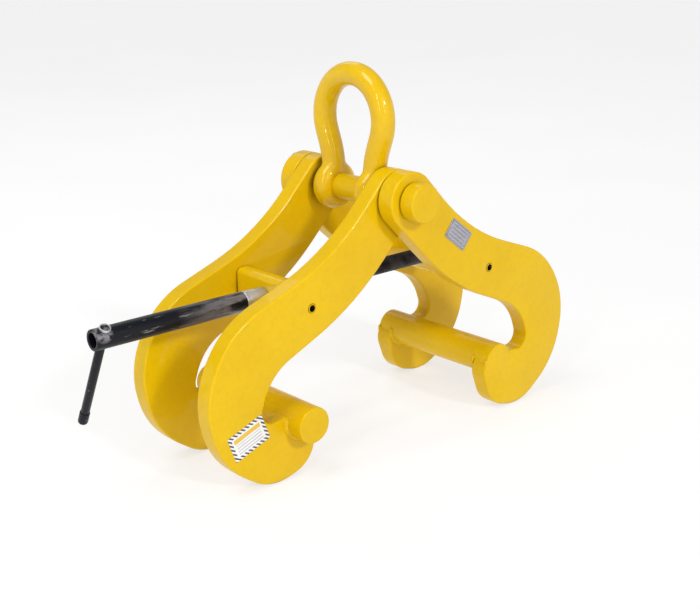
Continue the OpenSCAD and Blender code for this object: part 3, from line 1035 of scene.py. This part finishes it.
def zinc_plate():
    """Zinc plating, cloudy."""
    n = Nodes("zinc_plate")
    cloud = n.noise(70, 5, 0.65)
    colour = n.mix(n.ramp(cloud, (0.35, 0.0), (0.65, 1.0)), (0.60, 0.61, 0.62), (0.44, 0.46, 0.49))
    n.bump(n.noise(500, 2, 0.5), 0.12, 0.0003)
    return n.set(Base_Color=colour, Metallic=1.0, Roughness=n.ramp(cloud, (0.3, 0.28), (0.7, 0.45)))


def spring_steel():
    """Near-black hardened steel of the small cross pins, and of the roll pins' bores, where its darkness also
    paints the shade deep inside the holes.
    """
    n = Nodes("spring_steel")
    cloud = n.noise(180, 4, 0.6)
    colour = n.mix(n.ramp(cloud, (0.35, 0.0), (0.7, 1.0)), (0.10, 0.10, 0.105), (0.04, 0.036, 0.036))
    n.bump(cloud, 0.15, 0.0003)
    return n.set(Base_Color=colour, Metallic=0.9, Roughness=n.ramp(cloud, (0.3, 0.32), (0.7, 0.5)))


def face_coordinates(n, centre, angle):
    """Coordinates in millimetres across a small plate: x along it and z up it, from its centre."""
    shift = n.tree.nodes.new("ShaderNodeVectorMath")
    shift.operation = "SUBTRACT"
    shift.inputs[1].default_value = world(centre[0], 0, centre[1])
    n.link(n.coords, shift.inputs[0])
    turn = n.tree.nodes.new("ShaderNodeVectorRotate")
    turn.rotation_type = "Y_AXIS"
    turn.inputs["Angle"].default_value = math.radians(angle)
    n.link(shift.outputs[0], turn.inputs["Vector"])
    parts = n.tree.nodes.new("ShaderNodeSeparateXYZ")
    n.link(turn.outputs[0], parts.inputs[0])
    return n.math("MULTIPLY", parts.outputs[0], 1000), n.math("MULTIPLY", parts.outputs[2], 1000)


def band(n, value, lo, hi):
    """1 where value lies between lo and hi."""
    return n.math("MULTIPLY", n.math("GREATER_THAN", value, lo), n.math("LESS_THAN", value, hi))


def within(n, distance, limit):
    """1 where distance, which is never negative, is under limit."""
    return band(n, distance, -1, limit)


def ruled(n, z, pitch):
    """How far z lies above the nearest ruled line below it, for lines at the given pitch."""
    always_positive = n.math("ADD", z, 20.0)
    return n.math("MODULO", always_positive, pitch)


def tag_metal():
    """Blank rating plate: brushed aluminium with a plain frame and empty ruled lines."""
    n = Nodes("tag_metal")
    x, z = face_coordinates(n, TAG_AT, TAG_TURN)
    ax, az = n.math("ABSOLUTE", x), n.math("ABSOLUTE", z)
    edge = n.math("MAXIMUM", n.math("SUBTRACT", ax, (TAG_W - TAG_H) / 2), az)
    frame_line = band(n, edge, 8.4, 8.9)
    rows = n.math("MULTIPLY", band(n, ruled(n, z, 3.6), 0.0, 0.55), within(n, ax, 11.0))
    rows = n.math("MULTIPLY", rows, within(n, az, 6.6))
    marks = n.math("MAXIMUM", frame_line, rows)
    brush = n.noise(1.0, 4, 0.6, n.mapped((120, 1800, 1800), (0, math.radians(TAG_TURN), 0)))
    colour = n.mix(n.ramp(brush, (0.3, 0.0), (0.7, 1.0)), (0.50, 0.49, 0.54), (0.33, 0.32, 0.37))
    colour = n.mix(n.math("MULTIPLY", marks, 0.85), colour, (0.10, 0.10, 0.12))
    n.bump(n.math("SUBTRACT", n.math("MULTIPLY", brush, 0.3), marks), 0.3, 0.0002)
    return n.set(Base_Color=colour, Metallic=0.75, Roughness=n.ramp(brush, (0.3, 0.34), (0.7, 0.5)))


def label_vinyl():
    """Plain label: pale vinyl with a striped border, a yellow band and empty ruled bars."""
    n = Nodes("label_vinyl")
    x, z = face_coordinates(n, LABEL_AT, LABEL_TURN)
    ax, az = n.math("ABSOLUTE", x), n.math("ABSOLUTE", z)
    edge = n.math("MAXIMUM", n.math("SUBTRACT", ax, (LABEL_W - LABEL_H) / 2), az)
    stripe_pitch = 4.6
    diagonal = n.math("ADD", n.math("ADD", x, z), 100.0)
    stripe = n.math("GREATER_THAN", n.math("MODULO", diagonal, stripe_pitch), stripe_pitch / 2)
    border = n.math("MULTIPLY", n.math("GREATER_THAN", edge, 9.6), stripe)
    head = n.math("MULTIPLY", band(n, z, 3.6, 8.0), within(n, ax, 15.0))
    rows = n.math("MULTIPLY", band(n, z, -8.0, 1.8), n.math("LESS_THAN", ruled(n, z, 3.0), 1.2))
    bars = n.math("MULTIPLY", rows, within(n, ax, 14.0))
    scuff = n.noise(120, 4, 0.6)
    colour = n.mix(n.ramp(scuff, (0.4, 0.0), (0.75, 0.5)), (0.80, 0.80, 0.78), (0.62, 0.60, 0.54))
    colour = n.mix(border, colour, (0.07, 0.07, 0.09))
    colour = n.mix(bars, colour, (0.50, 0.50, 0.55))
    colour = n.mix(head, colour, (0.72, 0.46, 0.05))
    n.bump(scuff, 0.1, 0.0002)
    return n.set(Base_Color=colour, Roughness=n.ramp(scuff, (0.3, 0.34), (0.7, 0.5)))


def dress(objs, material):
    for o in objs:
        o.data.materials.clear()
        o.data.materials.append(material)


def second_material(o, material, chosen):
    """Gives material to the faces of o whose centre passes the test chosen."""
    o.data.materials.append(material)
    for p in o.data.polygons:
        if chosen(p.center):
            p.material_index = 1


def in_roll_pin_bore(point):
    off = point - world(math.copysign(TRUNNION_X, point.x), 0, -TRUNNION_DROP)
    return math.hypot(off.x, off.z) < (ROLL_BORE_R + 0.1) * MM


def on_thread(point):
    return point.x > JOURNAL_END_X * MM


enamel, smooth_enamel = yellow_paint("yellow_enamel", True, 0.26), yellow_paint("smooth_enamel", False, 0.6)
steel, oxide = turned_steel(), black_oxide()
zinc, dark_steel_and_bore_shade = zinc_plate(), spring_steel()
dress(painted + welds, enamel)
dress([shackle_piece] + trunnions, smooth_enamel)
dress([screw, ring, cap_a], steel)
dress([tube, rod, cap_b], oxide)
dress([pin_ring, cotter], zinc)
dress([collar_dowel, stop_dowel, dowel], dark_steel_and_bore_shade)
dress([tag, rivet_heads], tag_metal())
dress([sticker], label_vinyl())
# The roll pins' bores take the near-black steel: bare steel inside the painted pins, darkened further as
# painted shade down the holes.
for pins in roll_pin_pairs:
    second_material(pins, dark_steel_and_bore_shade, in_roll_pin_bore)
second_material(screw, oiled_thread(), on_thread)


# ---------------------------------------------------------------- floor, light and camera
def stage_plane(low_z):
    """Pale floor with a glow of its own, which keeps shadows faint."""
    mesh = bpy.data.meshes.new("floor")
    half = 12.0
    corners = [(-half, -half, low_z), (half, -half, low_z), (half, half, low_z), (-half, half, low_z)]
    mesh.from_pydata(corners, [], [(0, 1, 2, 3)])
    floor = bpy.data.objects.new("floor", mesh)
    bpy.context.scene.collection.objects.link(floor)
    n = Nodes("pale_floor")
    drift = n.ramp(n.noise(3, 2), (0.3, 0.0), (0.7, 1.0))
    colour = n.mix(drift, (0.34, 0.34, 0.34), (0.32, 0.32, 0.32))
    mesh.materials.append(n.set(Base_Color=colour, Roughness=0.75,
                                Emission_Color=(1, 1, 1, 1), Emission_Strength=0.66))
    floor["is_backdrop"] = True


def place_light(name, data, at, target):
    o = bpy.data.objects.new(name, data)
    o.location = at
    o.rotation_mode = "QUATERNION"
    o.rotation_quaternion = (Vector(target) - Vector(at)).to_track_quat("-Z", "Y")
    bpy.context.scene.collection.objects.link(o)


def area_light(name, at, target, width, height, power):
    data = bpy.data.lights.new(name, "AREA")
    data.shape = "RECTANGLE"
    data.size, data.size_y = width, height
    data.energy = power
    place_light(name, data, at, target)


def sun_light(name, at, target, strength, angle):
    data = bpy.data.lights.new(name, "SUN")
    data.energy = strength
    data.angle = math.radians(angle)
    place_light(name, data, at, target)


def studio_sky():
    """White near the horizon, so that low views show no edge of the floor, and dimmer above."""
    sky = bpy.data.worlds.new("studio")
    sky.use_nodes = True
    nodes, links = sky.node_tree.nodes, sky.node_tree.links
    direction = nodes.new("ShaderNodeSeparateXYZ")
    links.new(nodes.new("ShaderNodeTexCoord").outputs["Generated"], direction.inputs[0])
    ramp = nodes.new("ShaderNodeValToRGB")
    for stop, position, value in zip(ramp.color_ramp.elements, (0.14, 0.42), (0.90, 0.34)):
        stop.position, stop.color = position, (value, value, value, 1)
    links.new(direction.outputs["Z"], ramp.inputs["Fac"])
    links.new(ramp.outputs["Color"], nodes["Background"].inputs["Color"])
    bpy.context.scene.world = sky


def camera():
    """Camera at the photograph's viewing angle, worked out from the outlines of the plates and bars."""
    aim, distance, lens = Vector((-8, 0, PIVOT_Z - 115.7)) * MM, 1.1793, 61.3286
    azimuth, elevation, roll = math.radians(-41.19), math.radians(17.58), math.radians(-0.94)
    back = Vector((math.sin(azimuth) * math.cos(elevation), -math.cos(azimuth) * math.cos(elevation),
                   math.sin(elevation)))
    right = Vector((0, 0, 1)).cross(back).normalized()
    up = back.cross(right)
    right, up = right * math.cos(roll) + up * math.sin(roll), up * math.cos(roll) - right * math.sin(roll)
    data = bpy.data.cameras.new("camera")
    data.sensor_width = 36.0
    data.lens = lens
    data.clip_start, data.clip_end = 0.01, 50
    o = bpy.data.objects.new("camera", data)
    turn = Matrix((right, up, back)).transposed().to_4x4()
    o.matrix_world = Matrix.Translation(aim + back * distance) @ turn
    bpy.context.scene.collection.objects.link(o)
    bpy.context.scene.camera = o


stage_plane(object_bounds()[0].z - 0.5 * MM)
camera()
centre = (0, 0, -0.2)
sun_light("key", (0, -3.2, 1.65), centre, 1.1, 8)
area_light("top", (-1.3, 0, 2.2), centre, 1.2, 1.2, 30)
area_light("strip_left", (-2.5, -1.3, 1.4), centre, 0.12, 1.8, 20)
area_light("strip_front", (-0.9, -2.9, 1.4), centre, 0.12, 1.8, 7)
area_light("rim", (0.9, 1.7, 1.5), centre, 1.0, 1.0, 4)
studio_sky()
bpy.context.scene.view_settings.view_transform = "Standard"
